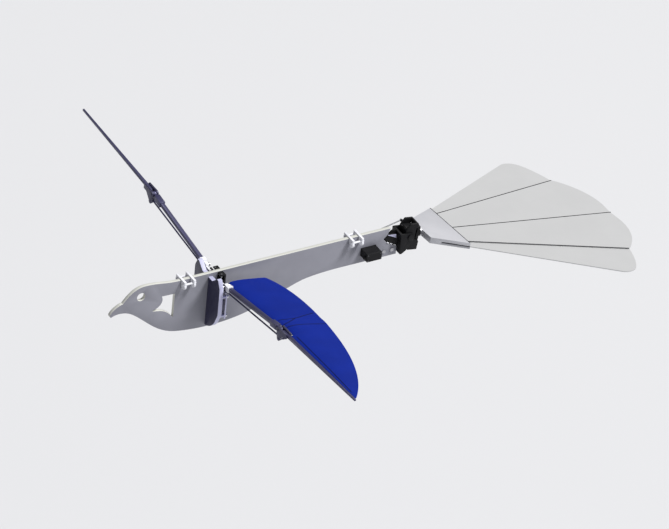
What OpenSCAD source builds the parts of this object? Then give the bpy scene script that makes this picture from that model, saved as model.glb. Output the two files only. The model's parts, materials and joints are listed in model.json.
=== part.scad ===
// Flapping-wing model bird: a flat profile keel, two jointed wings worked by one
// crank, and a fan tail on a pitch and roll head.
// Millimetres. -X is forward, +X is aft, -Y is the bird's left, +Z is up.
// The origin is on the keel's mid-plane and straight top edge, just ahead of the wing frame.

/* [Keel] */
// Thickness of the profile plate
keel_t = 5; // [4:0.5:6]
// X of the keel's square rear end
keel_rear_x = 287; // [284:1:290]
// Diameter of the eye hole
eye_d = 12; // [8:0.5:14]

/* [Wings] */
// X of the spars' centre line
spar_x = 18; // [17.8:0.1:18.2]
// Width of the square inner spar
spar_w = 5; // [4:0.5:5]
// Rise of the inner spar at rest, in degrees
inner_rise = 9; // [6:1:12]
// Rise of the outer spar at rest, in degrees
outer_rise = 3.5; // [0:0.5:6]
// Shoulder pivot to elbow pivot
inner_len = 145; // [135:1:155]
// Elbow pivot to wing tip
outer_len = 195; // [180:1:210]
// Half the distance between the shoulder pivots
shoulder_y = 27; // [26:0.5:28]
// Height of the shoulder pivots
shoulder_z = -8; // [-9:0.5:-7]
// Thickness of the wing film's stand-in
skin_t = 0.8; // [0.6:0.1:1.2]
// Nose-down pitch of the wing film, in degrees
skin_pitch = 5.2; // [3:0.1:7]

/* [Drive] */
// Throw of the crank
crank_r = 4.94; // [4.5:0.01:5.2]
// Gear module
gear_m = 0.6; // [0.6:0.1:0.6]
// Teeth on the crank gear
crank_teeth = 60; // [60:1:60]
// Teeth on the idler's wheel
wheel_teeth = 40; // [40:1:40]
// Teeth on the two pinions
pinion_teeth = 10; // [10:1:10]

/* [Tail] */
// Downward slope of the tail at rest, in degrees
tail_pitch = 9.2; // [6:0.1:12]
// Bank of the tail at rest, left side up, in degrees
tail_bank = 4.6; // [0:0.1:6]
// Length of the tail fan behind the clamp
fan_len = 250; // [230:1:270]
// Thickness of a tail panel
feather_t = 1.2; // [0.8:0.1:1.6]

/* [Hidden] */
$fn = 48;

half_keel = keel_t / 2;
gap = 0.3;              // between flat faces that slide past each other
run = 0.05;             // radial running clearance of a pin
cut = 1;                // overshoot of a cutting solid

// Stations along X of the wing drive, front to back
bulk_x = 5;             // front face of the bulkheads
bulk_t = 6;
carrier_x = bulk_x + bulk_t;
carrier_t = 4;
gear_x = 15.8;          // front face of the crank gear
gear_t = 2.8;
yoke_x = 19.2;          // front face of the crosshead
yoke_t = 2.2;
rear_plate_x = 23;
rear_plate_t = 2;
wheel_x = 25.8;
wheel_t = 2.2;
mount_x = 31;
mount_t = 2;

// Crank and gear train, as [y, z]
crank_c = [0, -43];
crank_pr = crank_teeth * gear_m / 2;
wheel_pr = wheel_teeth * gear_m / 2;
pinion_pr = pinion_teeth * gear_m / 2;
idler_dir = -40;
motor_dir = 100;
idler_c = crank_c + (crank_pr + pinion_pr) * [cos(idler_dir), sin(idler_dir)];
motor_c = idler_c + (wheel_pr + pinion_pr) * [cos(motor_dir), sin(motor_dir)];

// Wing linkage
lever_len = 12.3;       // shoulder pivot to crosshead pin
lever_t = 2.5;
shoulder_drop = 7.2;    // shoulder pivot down to the tie rod's pivot
elbow_drop = 12;        // elbow pivot down to the tie rod's far pivot
pivot_r = 1.5;
tie_r = 1.1;
tie_pin_r = 1;
elbow_pin_r = 1.25;
eye_t = 3.6;            // width of the tongue and the tie rod's eyes
cheek_t = 2.5;
// The tie rod's inboard pivot seen from the shoulder, in the inner wing's own frame
tie_in = [-shoulder_drop * sin(inner_rise), -shoulder_drop * cos(inner_rise)];
tie_out = [inner_len, -elbow_drop];
lever_end = [shoulder_y - lever_len * cos(inner_rise), shoulder_z - lever_len * sin(inner_rise)];

// Bolts that tie the front and rear plates together, as [y, z]
left_bolts = [[-18, -31], [-18, -60]];
right_bolts = [[18, -31], [8, -65]];

// Crosshead guides
guide_x = 21;
guide_y = 8.5;
guide_r = 1;

// Saddles, by the X of their two arms
saddle_pitch = 14;
front_saddle_x = -34;
rear_saddle_x = 215.5;
saddle_t = 3.2;

// Pitch servo, through the keel, as [x, z] of its centre
servo_l = 22.5;
servo_w = 12;
servo_h = 23;
pitch_servo_c = [244.3, -26.3];
pitch_servo_left = -19.5;
servo_tab = 4.8;
servo_tab_t = 2.4;
horn_y = 12.5;
horn_arm = 10;
horn_x = pitch_servo_c[0] + 5.6;

// Tail head
piv = [302, -15];       // pitch pivot, as [x, z]
clamp_start = 21;       // pivot to the clamp's front face, along the tail
clamp_len = 46;
clamp_front_w = 53;
clamp_rear_w = 104;
clamp_t = 8.4;
seam_y = 39.8;          // inner seams at the clamp's rear face
seam_a = 15.5;
edge_y = 52.9;          // outer edges there
edge_a = 31;
inside = -33;           // panels' front ends, inside the clamp
lap = 5;                // how far an outer panel runs under the inner one

// ---------- curves ----------
function bez(a, b, c, d, n = 12) =
    [for (i = [0:n]) let (t = i / n, s = 1 - t)
        s*s*s*a + 3*s*s*t*b + 3*s*t*t*c + t*t*t*d];
function rev(list) = [for (i = [len(list) - 1:-1:0]) list[i]];
function inv(a) = tan(a) - a * PI / 180;

// ---------- keel ----------
crown = [-88, 5];
brow = [-120.6, -15.2];
beak_top = [-137.6, -26];
beak_tip = [-137, -32];
throat = [-104, -36];
chest = [-40, -78];
belly = [69, -75.5];
waist = [148, -47];
boom = [215, -42.5];

keel_outline = concat(
    [[276, 0]],
    bez([-36, 0], [-57, 0], [-69, 5], crown),
    bez(crown, [-102, 5], [-111.5, -3], brow, 10),
    bez([-122.2, -15], [-128, -17.2], [-134, -20.6], beak_top, 6),
    bez(beak_top, [-139.4, -28.2], [-138.8, -30.6], beak_tip, 5),
    bez(beak_tip, [-130, -27.5], [-116, -27.5], throat, 10),
    bez(throat, [-84, -50], [-68, -72], chest),
    bez(chest, [-10, -84], [35, -85], belly, 14),
    bez(belly, [105, -65], [120, -55], waist, 10),
    bez(waist, [170, -42.5], [200, -42.5], boom, 8),
    [[keel_rear_x, -42.5], [keel_rear_x, -31], [272.5, -22.3], [266.4, -14.6], [271.6, -10]]
);
gill_outline = concat(
    [[-43.5, -18.5]],
    bez([-43.5, -55], [-52, -45], [-58, -39.5], [-74.5, -38.5], 8),
    bez([-74.5, -37], [-66, -35], [-58, -28], [-62.5, -18], 8)
);
window_rear = rear_plate_x - 0.5;

module along_y(y0, y1) {
    translate([0, y1, 0]) rotate([90, 0, 0]) linear_extrude(y1 - y0) children();
}
module along_x(x0, x1) {
    translate([x0, 0, 0]) rotate([90, 0, 90]) linear_extrude(x1 - x0) children();
}
module rod_x(x0, x1, c, r) {
    translate([x0, c[0], c[1]]) rotate([0, 90, 0]) cylinder(h = x1 - x0, r = r);
}
module rod_y(y0, y1, c, r) {
    translate([c[0], y1, c[1]]) rotate([90, 0, 0]) cylinder(h = y1 - y0, r = r);
}
module box(lo, hi) {
    translate(lo) cube(hi - lo);
}

module keel_plate() {
    color("#8b8b94") difference() {
        along_y(-half_keel, half_keel) difference() {
            polygon(keel_outline);
            polygon(gill_outline);
            // crank and yoke window, and the crosshead's slot above it
            translate([10.5, -63.5]) square([window_rear - 10.5, 42]);
            translate([18.5, -22]) square([3.6, 20.4]);
            // through pocket of the pitch servo
            translate(pitch_servo_c - [servo_l + 0.4, servo_w + 0.4] / 2)
                square([servo_l + 0.4, servo_w + 0.4]);
        }
        rod_y(-half_keel - cut, half_keel + cut, [-94, -10.5], eye_d / 2);
        for (x = [268, 280]) rod_y(-half_keel - cut, half_keel + cut, [x, -34], 1.5);
    }
}

// ---------- saddles on the top edge ----------
lobe_y = 7.6;
lobe_z = -6;
lobe_r = 4.6;
saddle_rod_r = 1.4;
saddle_rod_y = 9.2;
saddle_rod_z = -3.4;

module saddle_arm(x) {
    color("#ededf2") difference() {
        along_x(x - saddle_t / 2, x + saddle_t / 2) difference() {
            union() {
                for (s = [-1, 1]) translate([s * lobe_y, lobe_z]) circle(lobe_r);
                translate([-11.5, -5]) square([23, 6.6]);
            }
            translate([-half_keel, -20]) square([keel_t, 20]);
        }
        for (s = [-1, 1])
            rod_x(x - saddle_t, x + saddle_t, [s * saddle_rod_y, saddle_rod_z], saddle_rod_r);
    }
}
module saddle_rods(x) {
    color("#f4f4f8") for (s = [-1, 1])
        rod_x(x - saddle_t / 2 - 1, x + saddle_pitch + saddle_t / 2 + 1,
              [s * saddle_rod_y, saddle_rod_z], saddle_rod_r);
}
module front_saddle_fore_arm() { saddle_arm(front_saddle_x); }
module front_saddle_aft_arm() { saddle_arm(front_saddle_x + saddle_pitch); }
module front_saddle_rods() { saddle_rods(front_saddle_x); }
module rear_saddle_fore_arm() { saddle_arm(rear_saddle_x); }
module rear_saddle_aft_arm() { saddle_arm(rear_saddle_x + saddle_pitch); }
module rear_saddle_rods() { saddle_rods(rear_saddle_x); }

// ---------- wing frame ----------
bulk_outline = concat(
    [[half_keel, -5], [13, -5], [24, 4.5], [27.5, 4.5], [33, -7], [33, -47], [28.5, -57]],
    bez([28.5, -57], [25, -68], [14, -77], [half_keel, -79], 8)
);
spacer_r = 2.2;
bolt_r = 1.5;

module bulkhead(side, bolts) {
    color("#4a4a72") difference() {
        along_x(bulk_x, bulk_x + bulk_t) polygon([for (p = bulk_outline) [side * p[0], p[1]]]);
        for (b = bolts) rod_x(bulk_x + 1.5, carrier_x + cut, b, bolt_r);
        rod_x(bulk_x + 1.5, carrier_x + cut, [side * shoulder_y, shoulder_z], pivot_r);
        rod_x(bulk_x + 1.5, carrier_x + cut, [side * shoulder_y, shoulder_z - shoulder_drop],
              tie_pin_r);
        if (side > 0) rod_x(carrier_x - 3, carrier_x + cut, idler_c, 1 + run);
    }
}
module left_bulkhead() { bulkhead(-1, left_bolts); }
module right_bulkhead() { bulkhead(1, right_bolts); }

module left_rear_plate() {
    color("#b9b9d4") difference() {
        along_x(rear_plate_x, rear_plate_x + rear_plate_t)
            translate([-20.5, -64]) square([20.5 - half_keel, 36]);
        for (b = left_bolts) rod_x(rear_plate_x - cut, 30, b, bolt_r);
    }
}
module right_rear_plate() {
    color("#b9b9d4") difference() {
        along_x(rear_plate_x, rear_plate_x + rear_plate_t)
            translate([half_keel, -68]) square([20.5 - half_keel, 40]);
        for (b = right_bolts) rod_x(rear_plate_x - cut, 30, b, bolt_r);
        rod_x(rear_plate_x - cut, 30, idler_c, 1 + run);
    }
}
module frame_spacers() {
    color("#c9c9de") for (b = concat(left_bolts, right_bolts)) difference() {
        rod_x(carrier_x, rear_plate_x, b, spacer_r);
        rod_x(carrier_x - cut, rear_plate_x + cut, b, bolt_r);
    }
}
module frame_bolts() {
    color("#e6e6ea") {
        for (b = concat(left_bolts, right_bolts))
            rod_x(bulk_x + 1.5, rear_plate_x + rear_plate_t, b, bolt_r);
        for (b = left_bolts)
            rod_x(rear_plate_x + rear_plate_t, rear_plate_x + rear_plate_t + 2.2, b, 2.6);
    }
}
module wing_pivot_pins() {
    color("#d8d8de") for (s = [-1, 1]) {
        rod_x(bulk_x + 1.5, spar_x + 4.6, [s * shoulder_y, shoulder_z], pivot_r);
        rod_x(spar_x + 2.6 + gap, spar_x + 4.6, [s * shoulder_y, shoulder_z], 3);
        rod_x(bulk_x + 1.5, spar_x + 3.4, [s * shoulder_y, shoulder_z - shoulder_drop], tie_pin_r);
        rod_x(spar_x + 1.8 + gap, spar_x + 3.4, [s * shoulder_y, shoulder_z - shoulder_drop], 1.9);
    }
}
bushing_r = 3.2;
crank_shaft_r = 2;
module crank_carrier() {
    color("#c9c9de") difference() {
        along_x(carrier_x, carrier_x + carrier_t) translate([-15, -52]) square([30, 18]);
        rod_x(carrier_x - cut, carrier_x + carrier_t + cut, crank_c, bushing_r);
    }
}
module crank_bushing() {
    color("#c8a04a") difference() {
        rod_x(carrier_x, carrier_x + carrier_t, crank_c, bushing_r);
        rod_x(carrier_x - cut, carrier_x + carrier_t + cut, crank_c, crank_shaft_r + run);
    }
}

// ---------- crosshead and its guides ----------
guide_arm_t = 1.5;
guide_top_z = -1;
guide_low_z = -27;
boss_r = 2.4;
bar_z = lever_end[1];
bar_h = 4;
pad_h = 5.4;            // height of the bar's slotted ends

module guide_bracket(side) {
    module half() {
        difference() {
            union() {
                box([24, half_keel, guide_low_z], [26, 11.5, guide_top_z]);
                for (z = [guide_low_z, guide_top_z - guide_arm_t])
                    box([18.9, half_keel, z], [24, 11.5, z + guide_arm_t]);
            }
            translate([guide_x, guide_y, guide_low_z - cut]) cylinder(h = 30, r = guide_r);
        }
    }
    color("#2b2b30") if (side > 0) half(); else mirror([0, 1, 0]) half();
}
module left_guide_bracket() { guide_bracket(-1); }
module right_guide_bracket() { guide_bracket(1); }
module guide_rods() {
    color("#d8d8de") for (s = [-1, 1])
        translate([guide_x, s * guide_y, guide_low_z])
            cylinder(h = guide_top_z - guide_low_z, r = guide_r);
}
crank_pin_r = 1.5;
yoke_slot_h = 2 * (crank_pin_r + 1.1);
lever_pin_r = 1.2;
module crosshead() {
    color("#26262b") difference() {
        union() {
            along_x(yoke_x, yoke_x + yoke_t) {
                translate([-15, bar_z - bar_h / 2]) square([30, bar_h]);
                for (s = [-1, 1])
                    translate([s * 15.8 - 3.2, bar_z - pad_h / 2]) square([6.4, pad_h]);
                translate([-1.9, crank_c[1]]) square([3.8, bar_z - crank_c[1]]);
                translate([-9.4, crank_c[1] - 4.8]) square([18.8, 9.6]);
            }
            for (s = [-1, 1]) translate([guide_x, s * guide_y, bar_z - 8])
                cylinder(h = 8 + bar_h / 2 - 1, r = boss_r);
        }
        along_x(yoke_x - cut, yoke_x + yoke_t + cut) {
            translate([-6.7, crank_c[1] - yoke_slot_h / 2]) square([13.4, yoke_slot_h]);
            for (s = [-1, 1]) translate([s * 15.8 - 2.3, bar_z - lever_pin_r - 0.25])
                square([4.6, 2 * lever_pin_r + 0.5]);
        }
        for (s = [-1, 1]) translate([guide_x, s * guide_y, bar_z - 8 - cut])
            cylinder(h = 8 + bar_h + 2 * cut, r = guide_r + run);
    }
}

// ---------- gears ----------
pressure = 20;
backlash = 0.16;

// One gear outline: each tooth rises along an involute from the root circle to the tip
// and mirrors down again. phase is the angle of the first tooth's centre.
function gear_points(teeth, phase) =
    let (
        pr = teeth * gear_m / 2,
        br = pr * cos(pressure),
        tip = pr + gear_m,
        root = pr - 1.25 * gear_m,
        half = (PI * gear_m / 2 - backlash) / 2 / pr * 180 / PI,
        lift = inv(pressure) * 180 / PI,
        rs = [max(br, root), (max(br, root) + pr) / 2, pr, tip],
        off = [for (r = rs) half + lift - inv(acos(min(1, br / r))) * 180 / PI]
    )
    [for (i = [0:teeth - 1]) let (c = phase + i * 360 / teeth)
        each concat(
            [root * [cos(c - off[0]), sin(c - off[0])]],
            [for (j = [0:3]) rs[j] * [cos(c - off[j]), sin(c - off[j])]],
            [for (j = [3:-1:0]) rs[j] * [cos(c + off[j]), sin(c + off[j])]],
            [root * [cos(c + off[0]), sin(c + off[0])]]
        )];
// Tooth phase of a gear that meshes with one of known teeth and phase, in direction dir
function mesh_phase(teeth, other_teeth, other_phase, dir) =
    dir + 180 + 180 / teeth - (other_phase - dir) * other_teeth / teeth;

crank_phase = 0;
idler_phase = mesh_phase(pinion_teeth, crank_teeth, crank_phase, idler_dir);
wheel_phase = 0;
motor_phase = mesh_phase(pinion_teeth, wheel_teeth, wheel_phase, motor_dir);

module gear(x0, t, c, teeth, phase, bore, holes = 0) {
    along_x(x0, x0 + t) translate(c) difference() {
        polygon(gear_points(teeth, phase));
        circle(bore);
        if (holes > 0) for (i = [0:holes - 1]) rotate(30 + i * 360 / holes)
            translate([teeth * gear_m * 0.3, 0]) circle(teeth * gear_m * 0.09);
    }
}
module crank_gear() {
    color("#e8e6dc") difference() {
        union() {
            gear(gear_x, gear_t, crank_c, crank_teeth, crank_phase, crank_shaft_r, 6);
            rod_x(carrier_x + carrier_t + gap, gear_x, crank_c, 3);
        }
        rod_x(carrier_x, gear_x + gear_t + cut, crank_c, crank_shaft_r);
        rod_x(gear_x - cut, gear_x + gear_t + cut, crank_c + [crank_r, 0], crank_pin_r);
    }
}
module crank_shaft() {
    color("#c0c0c6") rod_x(carrier_x, gear_x + gear_t, crank_c, crank_shaft_r);
}
module crank_pin() {
    color("#c0c0c6") {
        rod_x(gear_x, yoke_x + yoke_t + 0.2, crank_c + [crank_r, 0], crank_pin_r);
    }
}
idler_shaft_r = 1;
module idler_shaft() {
    color("#c0c0c6") rod_x(carrier_x - 3, wheel_x + wheel_t + 1, idler_c, idler_shaft_r);
}
module idler_pinion() {
    color("#c8a04a")
        gear(gear_x, gear_t, idler_c, pinion_teeth, idler_phase, idler_shaft_r);
}
module idler_wheel() {
    color("#e8e6dc")
        gear(wheel_x, wheel_t, idler_c, wheel_teeth, wheel_phase, idler_shaft_r, 5);
}

// ---------- motor ----------
can_r = 8;
can_l = 25;
motor_shaft_r = 0.75;
module motor_mount() {
    color("#2b2b30") difference() {
        union() {
            along_x(mount_x, mount_x + mount_t)
                translate([half_keel, motor_c[1] - 10]) square([motor_c[0] + 7.5, 20]);
            box([mount_x + mount_t, half_keel, motor_c[1] - 10], [45, half_keel + 2, motor_c[1] + 10]);
        }
        rod_x(mount_x - cut, mount_x + mount_t + cut, motor_c, 2.5);
    }
}
module motor_can() {
    color("#9a9aa2") union() {
        rod_x(mount_x + mount_t, mount_x + mount_t + can_l, motor_c, can_r);
        rod_x(mount_x + mount_t + can_l, mount_x + mount_t + can_l + 2, motor_c, 3);
    }
}
module motor_shaft() {
    color("#c0c0c6") rod_x(wheel_x - 0.6, mount_x + mount_t - gap, motor_c, motor_shaft_r);
}
module motor_pinion() {
    color("#c8a04a")
        gear(wheel_x, wheel_t, motor_c, pinion_teeth, motor_phase, motor_shaft_r);
}

// ---------- flight electronics on the right side of the keel ----------
tray_t = 1.6;
pack_lo = [64, half_keel + tray_t, -54];
pack_size = [58, 12, 28];
module battery_tray() {
    color("#2b2b30") union() {
        box([62, half_keel, -56.5], [124, half_keel + tray_t, -23.5]);
        box([62, half_keel + tray_t, -56.5], [124, 17, -54.2]);
        for (x = [62, 122.2]) box([x, half_keel + tray_t, -54.2], [x + 1.8, 12, -28]);
    }
}
module battery() {
    color("#3a4a66") box(pack_lo, pack_lo + pack_size);
}
module speed_controller() {
    color("#26262b") box([66, half_keel, -20.5], [96, half_keel + 6, -5.5]);
}
module receiver() {
    color("#33333a") box([132, half_keel, -34], [160, half_keel + 8, -12]);
}

// ---------- wings ----------
// A right wing is drawn outward along +Y; the left one is its mirror image.
module wing_side(side) {
    if (side > 0) children(); else mirror([0, 1, 0]) children();
}
module inner_frame() {
    translate([spar_x, shoulder_y, shoulder_z]) rotate([inner_rise, 0, 0]) children();
}
module outer_frame() {
    translate([spar_x, shoulder_y, shoulder_z]) rotate([inner_rise, 0, 0])
        translate([0, inner_len, 0]) rotate([outer_rise - inner_rise, 0, 0]) children();
}
module pin_x(c, r, x0, x1) {
    translate([x0, c[0], c[1]]) rotate([0, 90, 0]) cylinder(h = x1 - x0, r = r);
}

hub_r = 3.9;
socket_w = 7.6;         // outside of the sleeves on the spar
root_len = 7;
module root_fitting(side) {
    color("#dcdce8") wing_side(side) inner_frame() difference() {
        union() {
            pin_x([0, 0], hub_r, -spar_w / 2, spar_w / 2);
            translate([-spar_w / 2, 0, -2.6]) cube([spar_w, 6, 5.2]);
            translate([-socket_w / 2, 5, -socket_w / 2]) cube([socket_w, root_len, socket_w]);
            // drive lever, reaching inboard to the crosshead
            translate([-spar_w / 2, -lever_len, -1.9]) cube([lever_t, lever_len, 3.8]);
            pin_x([-lever_len, 0], 2.7, -spar_w / 2, -spar_w / 2 + lever_t);
            pin_x([-lever_len, 0], lever_pin_r, -spar_w / 2 + lever_t, 3.6);
        }
        pin_x([0, 0], pivot_r + run, -10, 10);
        translate([-spar_w / 2, 7, -spar_w / 2]) cube([spar_w, 20, spar_w]);
    }
}
tongue_root = inner_len - 7;
module inner_spar(side) {
    color("#8c8cae") wing_side(side) inner_frame() difference() {
        union() {
            translate([-spar_w / 2, 7, -spar_w / 2])
                cube([spar_w, tongue_root - 8 - 7, spar_w]);
            translate([-socket_w / 2, tongue_root - 16, -socket_w / 2])
                cube([socket_w, 16, socket_w]);
            translate([-eye_t / 2, tongue_root, -2.4])
                cube([eye_t, inner_len - tongue_root, 4.8]);
            pin_x([inner_len, 0], 3.6, -eye_t / 2, eye_t / 2);
        }
        pin_x([inner_len, 0], elbow_pin_r + run, -10, 10);
    }
}
tie_dir = atan2(tie_out[1] - tie_in[1], tie_out[0] - tie_in[0]);
tie_len = norm(tie_out - tie_in);
tie_slack = 0.3;        // play at the far eye, where the linkage is opened
module tie_rod(side) {
    color("#a5a5c4") wing_side(side) inner_frame()
        translate([0, tie_in[0], tie_in[1]]) rotate([tie_dir, 0, 0]) difference() {
            union() {
                for (y = [0, tie_len]) pin_x([y, 0], 2.7, -eye_t / 2, eye_t / 2);
                translate([0, 1.8, 0]) rotate([-90, 0, 0]) cylinder(h = tie_len - 3.6, r = tie_r);
            }
            pin_x([0, 0], tie_pin_r + run, -10, 10);
            pin_x([tie_len, 0], tie_pin_r + tie_slack, -10, 10);
        }
}
cheek_x = eye_t / 2 + gap;
outer_w = 2 * cheek_x;
module elbow_lever(side) {
    // where the tie rod's pivot lies, seen from the outer spar's frame
    swing = inner_rise - outer_rise;
    low = elbow_drop * [sin(swing), -cos(swing)];
    color("#3c3c60") wing_side(side) outer_frame() {
        for (x = [-cheek_x - cheek_t, cheek_x]) union() {
            pin_x([0, 0], 4.2, x, x + cheek_t);
            pin_x(low, 3.2, x, x + cheek_t);
            translate([x, 0, 0]) rotate([90, 0, 90]) linear_extrude(cheek_t)
                polygon([[-4.1, -0.8], low + [-3.2, 0.4], low + [3.2, 0.4], [13, -3.4], [20, -3.2],
                         [20, 3.2], [0, 4.2], [-3, 2.9]]);
        }
        pin_x([0, 0], elbow_pin_r, -cheek_x - cheek_t - 0.8, cheek_x + cheek_t + 0.8);
        pin_x(low, tie_pin_r, -cheek_x - cheek_t - 0.6, cheek_x + cheek_t + 0.6);
    }
}
tip_w = 2.4;
module outer_spar(side) {
    // a bar that tapers in plan and in height from the elbow to the tip
    color("#7e7ea2") wing_side(side) outer_frame() intersection() {
        rotate([0, -90, 0]) translate([0, 0, -outer_w])
            linear_extrude(2 * outer_w) polygon([
                [-2.2, 6.4], [2.2, 6.4], [2.2, 60], [tip_w / 2, outer_len],
                [-tip_w / 2, outer_len], [-2.2, 60]]);
        translate([0, 0, -5]) linear_extrude(10) polygon([
            [-cheek_x, 6.4], [cheek_x, 6.4], [cheek_x, 60], [tip_w / 2, outer_len],
            [-tip_w / 2, outer_len], [-cheek_x, 60]]);
    }
}

// Trailing edges, as [chord behind the spar line, distance outboard]
skin_root = -7.6;
stand_off = 0.1;        // film's leading edge to the bar it is stitched to
inner_te = bez([62, skin_root], [74, 25], [74, 75], [66.6, 128], 10);
gusset_te = bez([66.6, 128], [66.2, 134], [65.8, 140], [65.5, 145], 3);
outer_te = bez([65.5, 0], [58.5, 88], [38, 148], [3.2, 191], 16);
skin_le = spar_w / 2 + stand_off;
socket_le = socket_w / 2 + 0.5;
elbow_le = 6.4;
elbow_gap = 1.4;        // film panels to the elbow's axis, so that they clear each other
gusset_end = inner_len - elbow_gap;
sleeve_y = tongue_root - 16;

module film(points) {
    rotate([0, skin_pitch, 0]) translate([0, 0, -skin_t / 2]) linear_extrude(skin_t)
        polygon(points);
}
module left_inner_skin() {
    color("#143296") wing_side(-1) inner_frame() film(concat(
        [[8, skin_root], [socket_le, 6], [socket_le, 5.4 + root_len], [skin_le, 5.8 + root_len],
         [skin_le, sleeve_y - 0.8], [socket_le, sleeve_y - 0.4], [elbow_le, sleeve_y + 0.1]],
        rev(inner_te)));
}
module left_gusset_skin() {
    color("#143296") wing_side(-1) inner_frame() film(concat(
        [[elbow_le, sleeve_y + 0.4], [elbow_le, gusset_end], [65.6, gusset_end]],
        rev([for (p = gusset_te) if (p[1] < gusset_end - 1) p + [0, 0.3]])));
}
module left_outer_skin() {
    color("#1a3cae") wing_side(-1) outer_frame() film(concat(
        [[elbow_le, elbow_gap], [elbow_le, 20.6], [cheek_x + stand_off, 21.4],
         [cheek_x + stand_off, 60], [tip_w / 2 + 2 * stand_off, 191]],
        rev([for (p = outer_te) p + [0, p[1] < 1 ? elbow_gap : 0]])));
}

module left_root_fitting() { root_fitting(-1); }
module left_inner_spar() { inner_spar(-1); }
module left_tie_rod() { tie_rod(-1); }
module left_elbow_lever() { elbow_lever(-1); }
module left_outer_spar() { outer_spar(-1); }
module right_root_fitting() { root_fitting(1); }
module right_inner_spar() { inner_spar(1); }
module right_tie_rod() { tie_rod(1); }
module right_elbow_lever() { elbow_lever(1); }
module right_outer_spar() { outer_spar(1); }

// ---------- pitch servo and pushrod ----------
module pitch_servo() {
    c = pitch_servo_c;
    color("#1c1c20") union() {
        box([c[0] - servo_l / 2, pitch_servo_left, c[1] - servo_w / 2],
            [c[0] + servo_l / 2, pitch_servo_left + servo_h + 3, c[1] + servo_w / 2]);
        box([c[0] - servo_l / 2 - servo_tab, half_keel, c[1] - servo_w / 2],
            [c[0] + servo_l / 2 + servo_tab, half_keel + servo_tab_t, c[1] + servo_w / 2]);
        rod_y(6, 10.6, [horn_x, c[1]], 5.6);
    }
}
module pitch_horn() {
    c = [horn_x, pitch_servo_c[1]];
    color("#f2f2f2") union() {
        rod_y(10.6 + gap, horn_y, c, 1.6);
        rod_y(horn_y, horn_y + 2, c, 3.4);
        translate([c[0] - 2, horn_y, c[1]]) cube([4, 2, horn_arm]);
        rod_y(horn_y, horn_y + 2, c + [0, horn_arm], 2);
        rod_y(horn_y + 2, horn_y + 4.6, c + [0, horn_arm], 0.8);
    }
}
rod_eye_y = horn_y + 2 + gap;
rod_end = piv + [0, horn_arm];
rod_start = [horn_x, pitch_servo_c[1] + horn_arm];
module pitch_pushrod() {
    run_l = norm(rod_end - rod_start);
    a = atan2(rod_end[1] - rod_start[1], rod_end[0] - rod_start[0]);
    color("#c0c0c6") translate([rod_start[0], rod_eye_y + 0.9, rod_start[1]]) rotate([0, -a, 0])
        difference() {
            union() {
                for (x = [0, run_l]) translate([x, 0, 0]) rotate([90, 0, 0])
                    cylinder(h = 1.8, r = 2, center = true);
                translate([1.2, 0, 0]) rotate([0, 90, 0]) cylinder(h = run_l - 2.4, r = 0.8);
            }
            rotate([90, 0, 0]) cylinder(h = 4, r = 0.8 + run, center = true);
            translate([run_l, 0, 0]) rotate([90, 0, 0])
                cylinder(h = 4, r = 0.8 + tie_slack, center = true);
        }
}

// ---------- tail head ----------
fork_in = 9.6;          // inside half width of the fork
fork_t = 2.4;
cradle_in = 6.3;
module tail_fork() {
    color("#1c1c20") difference() {
        union() {
            // cheek on the keel's right side, and the key that fills its rear notch
            along_y(half_keel, half_keel + fork_t)
                polygon([[262, -40], [290, -40], [290, -8], [281, -8], [262, -28]]);
            along_y(-half_keel, half_keel)
                polygon([[268.4, -14.8], [273.6, -21.6], [287.2, -29.8], [287.2, -13], [274, -11.6]]);
            // plate across the keel's rear end
            box([287.2, -fork_in - fork_t, -38], [290, fork_in + fork_t, -8]);
            // ears that carry the pitch pivot
            for (s = [-1, 1])
                along_y(s > 0 ? fork_in : -fork_in - fork_t, s > 0 ? fork_in + fork_t : -fork_in)
                    polygon([[290, -38], [296, -34], [306.5, -20], [307, -13], [303, -9.6],
                             [290, -8]]);
        }
        rod_y(-20, 20, piv, 1.5);
        for (x = [268, 280]) rod_y(-20, 20, [x, -34], 1.5);
    }
}
module fork_bolts() {
    color("#e6e6ea") for (x = [268, 280]) {
        rod_y(-half_keel - 1.2, half_keel + fork_t, [x, -34], 1.5);
        rod_y(-half_keel - 1.2, -half_keel, [x, -34], 2.6);
        rod_y(half_keel + fork_t, half_keel + fork_t + 1.8, [x, -34], 2.8);
    }
}
// The tail's own frame: X back along the tail from the pitch pivot, banked about it.
module pitch_frame() {
    translate([piv[0], 0, piv[1]]) rotate([0, tail_pitch, 0]) children();
}
module tail_frame() {
    pitch_frame() rotate([-tail_bank, 0, 0]) children();
}
cradle_out = fork_in - gap;
module pitch_cradle() {
    color("#1c1c20") pitch_frame() difference() {
        union() {
            for (s = [-1, 1]) {
                along_y(s > 0 ? cradle_in : -cradle_out, s > 0 ? cradle_out : -cradle_in)
                    polygon([[-7, -8], [-1, -19], [1, -21], [15, -21], [15, -8.5], [7.5, -5.5],
                             [7.5, 18], [-2, 18], [-7, 9]]);
                rod_y(s > 0 ? cradle_out : -fork_in - fork_t - 1, s > 0 ? fork_in + fork_t + 1 : -cradle_out,
                      [0, 0], 1.5 - run);
                // round cap on the left end of the pitch pivot
                if (s < 0)
                    rod_y(-fork_in - fork_t - gap - 1.6, -fork_in - fork_t - gap, [0, 0], 4.6);
            }
            box([7.5, -cradle_out, -19.5], [9.7, cradle_out, -11.6]);
            box([1, -cradle_out, -21], [15, cradle_out, -19]);
            box([7.5, -cradle_out, 11.6], [9.7, cradle_out, 18]);
            // stud that the pushrod pulls on
            rod_y(cradle_in, rod_eye_y + 2.1,
                  horn_arm * [-sin(tail_pitch), cos(tail_pitch)], 0.8);
        }
        for (z = [-15.3, 14.8]) translate([7, 0, z]) rotate([0, 90, 0]) cylinder(h = 4, r = 0.9);
    }
}
roll_tab_x = 9.7;
roll_body_l = 23;
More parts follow.
